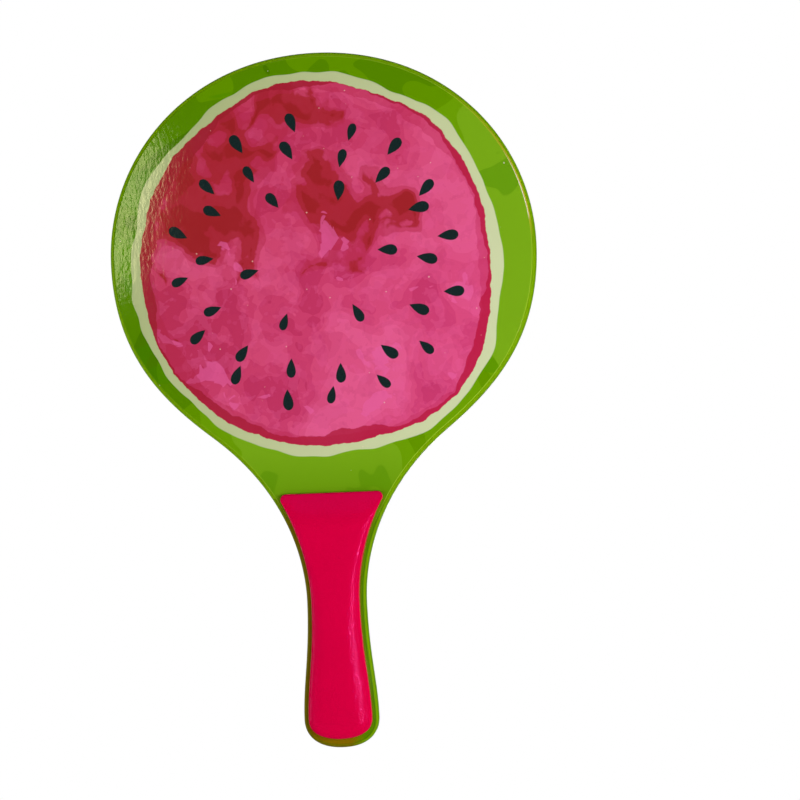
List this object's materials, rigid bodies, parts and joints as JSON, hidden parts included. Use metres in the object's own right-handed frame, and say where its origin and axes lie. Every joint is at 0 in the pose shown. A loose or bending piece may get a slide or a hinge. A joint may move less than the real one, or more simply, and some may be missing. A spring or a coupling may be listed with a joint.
{
  "type": "frescobol racket",
  "caption": "Flat round-headed wooden beach bat with a printed film on its front and moulded plastic grips on both sides of its short handle.",
  "frame": {"origin": "middle of the handle where a hand holds it, 72 mm above the butt, on the racket's centre line and at the middle of the board's thickness", "axes": "+Z from the butt to the tip of the head, +X to the right seen from the printed front, -Y out of the printed front"},
  "size_m": [0.2346, 0.0239, 0.38],
  "materials": {
    "lacquered_plywood": "satin green lacquer over fine grain",
    "printed_film": "glossy film over a printed fruit-slice pattern",
    "grip_tape": "matte white double-sided tape",
    "grip_plastic": "satin moulded pink-red plastic"
  },
  "bodies": {
    "root": {"core_veneer": "lacquered_plywood", "front_crossband_veneer": "lacquered_plywood", "back_crossband_veneer": "lacquered_plywood", "front_face_veneer": "lacquered_plywood", "back_face_veneer": "lacquered_plywood", "printed_film": "printed_film", "front_grip_tape": "grip_tape", "back_grip_tape": "grip_tape", "front_grip": "grip_plastic", "back_grip": "grip_plastic"}
  },
  "joints": []
}
